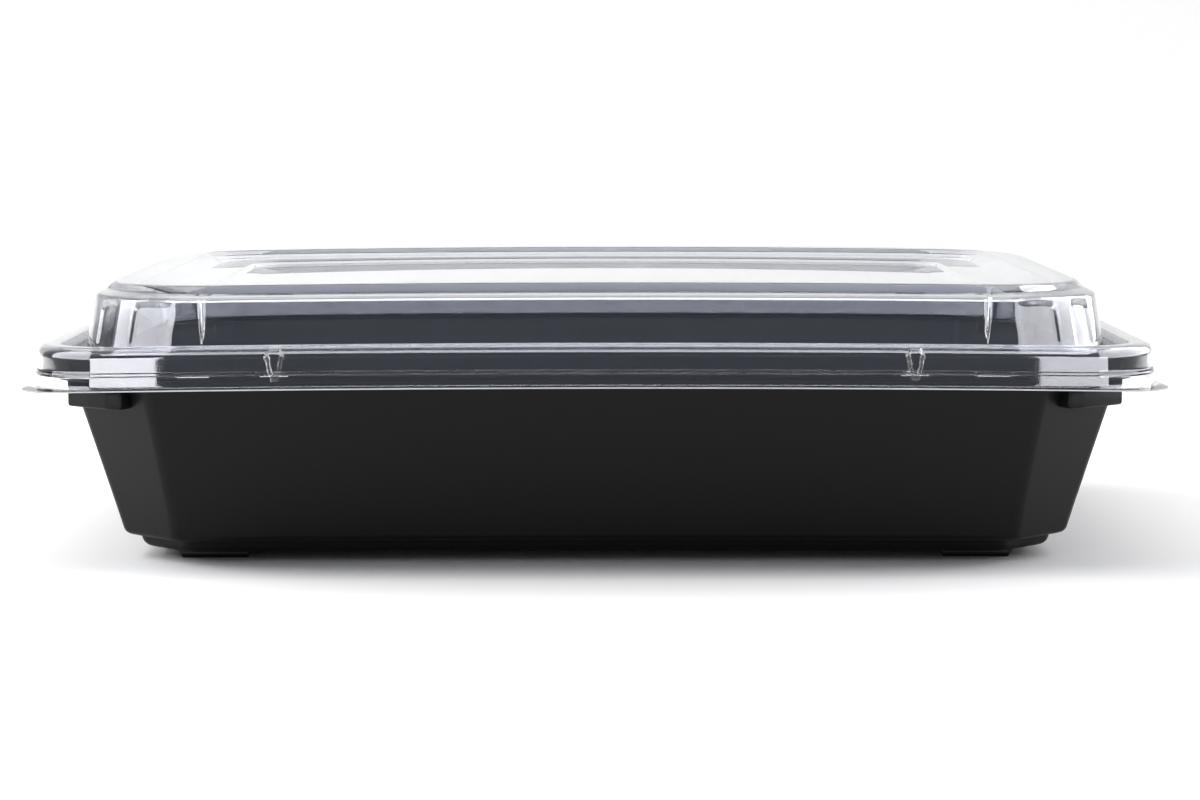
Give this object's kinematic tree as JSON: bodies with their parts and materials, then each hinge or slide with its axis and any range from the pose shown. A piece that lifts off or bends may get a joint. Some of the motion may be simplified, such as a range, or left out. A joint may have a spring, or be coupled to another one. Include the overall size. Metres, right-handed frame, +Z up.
{
  "type": "takeaway meal container",
  "caption": "Rectangular takeaway meal container: black tapered tray on low feet with a clear domed lid clipped over its rim, shut and empty.",
  "frame": {"origin": "middle of the plane that the four feet stand on", "axes": "+Z up, X along the long side, -Y towards the long side that the picture shows"},
  "size_m": [0.24, 0.1712, 0.0606],
  "materials": {
    "tray_plastic": "black thermoformed polypropylene, satin",
    "lid_plastic": "clear thermoformed PET sheet, glossy"
  },
  "bodies": {
    "root": {"tray": "tray_plastic", "lid": "lid_plastic"}
  },
  "joints": []
}
